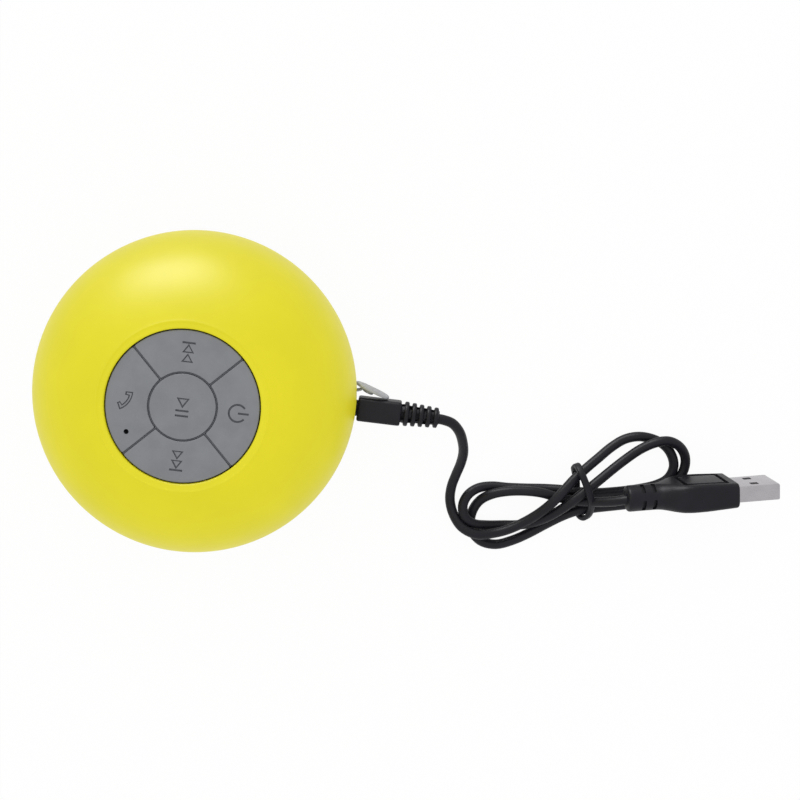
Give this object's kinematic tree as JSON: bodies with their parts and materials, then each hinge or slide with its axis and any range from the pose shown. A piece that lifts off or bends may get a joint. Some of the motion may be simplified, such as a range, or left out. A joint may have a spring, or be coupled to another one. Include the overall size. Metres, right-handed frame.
{
  "type": "shower speaker",
  "caption": "Round waterproof shower speaker on a suction cup, with a silicone skin, a five-key pad, a port flap and its charging lead.",
  "frame": {"origin": "on the speaker's axis, in the plane of the suction cup's rim", "axes": "+Z along the speaker's axis towards the keypad, +X to the side of the charging port, which points 7 degrees clockwise of +X"},
  "size_m": [0.2034, 0.0917, 0.0551],
  "materials": {
    "yellow_silicone": "matt moulded silicone",
    "grey_rubber": "matt moulded key rubber",
    "dark_rubber": "matt",
    "housing_plastic": "moulded ABS, satin",
    "key_plunger": "moulded",
    "steel": "stamped",
    "chrome_shell": "bright nickel plate",
    "screw_steel": "zinc plated",
    "board_green": "solder mask",
    "black_plastic": "moulded",
    "chip_tan": "ceramic",
    "led_white": "clear lens",
    "battery_foil": "foil pouch",
    "foam_white": "foam tape",
    "wire_red": "wire insulation",
    "ferrite": "sintered ferrite",
    "paper_cone": "pressed paper",
    "spider_cloth": "treated cloth",
    "mesh_cloth": "fine woven mesh",
    "coil_copper": "enamelled copper",
    "cup_pvc": "clear soft PVC",
    "flap_rubber": "matt",
    "gold": "gold plate",
    "cord_black": "satin PVC"
  },
  "bodies": {
    "housing": {"silicone_skin": "yellow_silicone", "front_housing": "housing_plastic", "rear_housing": "housing_plastic", "housing_gasket": "dark_rubber", "keypad_web": "dark_rubber", "tact_switches": "steel", "main_board": "board_green", "bluetooth_module": "steel", "amplifier_chip": "black_plastic", "board_components": "chip_tan", "status_led": "led_white", "microphone": "steel", "mic_boot": "dark_rubber", "battery": "battery_foil", "battery_pad": "foam_white", "battery_wires": "wire_red", "speaker_wires": "black_plastic", "board_screws": "screw_steel", "housing_screws": "screw_steel", "acoustic_mesh": "mesh_cloth", "driver_gasket": "dark_rubber", "driver_basket": "steel", "driver_top_plate": "steel", "driver_magnet": "ferrite", "driver_yoke": "steel", "driver_surround": "dark_rubber", "driver_spider": "spider_cloth", "charge_socket": "black_plastic", "socket_contacts": "gold", "flap_anchor": "flap_rubber"},
    "lead": {"jack_barrel": "chrome_shell", "jack_insulator": "black_plastic", "jack_overmould": "cord_black", "charging_cord": "cord_black", "cord_tie": "cord_black", "usb_overmould": "cord_black", "usb_shell": "chrome_shell", "usb_tongue": "black_plastic", "usb_contacts": "gold"},
    "flap": {"port_flap": "flap_rubber"},
    "cup": {"suction_cup": "cup_pvc"},
    "cone": {"driver_cone": "paper_cone", "dust_cap": "paper_cone", "voice_coil": "coil_copper"},
    "play": {"play_key": "grey_rubber", "play_plunger": "key_plunger"},
    "previous": {"previous_key": "grey_rubber", "previous_plunger": "key_plunger"},
    "next": {"next_key": "grey_rubber", "next_plunger": "key_plunger"},
    "power": {"power_key": "grey_rubber", "power_plunger": "key_plunger"},
    "call": {"call_key": "grey_rubber", "call_plunger": "key_plunger"}
  },
  "joints": [
    {"name": "play_press", "type": "slide", "parent": "housing", "child": "play", "axis": [0, 0, -1], "range_m": [0, 0.0006], "stiffness_N_per_m": 600},
    {"name": "previous_press", "type": "slide", "parent": "housing", "child": "previous", "axis": [0, 0, -1], "range_m": [0, 0.0006], "stiffness_N_per_m": 600},
    {"name": "next_press", "type": "slide", "parent": "housing", "child": "next", "axis": [0, 0, -1], "range_m": [0, 0.0006], "stiffness_N_per_m": 600},
    {"name": "power_press", "type": "slide", "parent": "housing", "child": "power", "axis": [0, 0, -1], "range_m": [0, 0.0006], "stiffness_N_per_m": 600},
    {"name": "call_press", "type": "slide", "parent": "housing", "child": "call", "axis": [0, 0, -1], "range_m": [0, 0.0006], "stiffness_N_per_m": 600},
    {"name": "flap_hinge", "type": "hinge", "parent": "housing", "child": "flap", "pos_m": [0.04207, 0.00209, 0.02], "axis": [0, 0, 1], "range_deg": [0, 60]},
    {"name": "lead_unplug", "type": "slide", "parent": "housing", "child": "lead", "axis": [0.9925, -0.1219, 0], "range_m": [0, 0.012]},
    {"name": "cup_swivel", "type": "hinge", "parent": "housing", "child": "cup", "pos_m": [0, 0, 0.01], "axis": [0, 0, 1], "continuous": true},
    {"name": "cone_stroke", "type": "slide", "parent": "housing", "child": "cone", "axis": [0, 0, 1], "range_m": [-0.001, 0.001], "stiffness_N_per_m": 800, "deforming": ["driver_surround", "driver_spider"]}
  ]
}
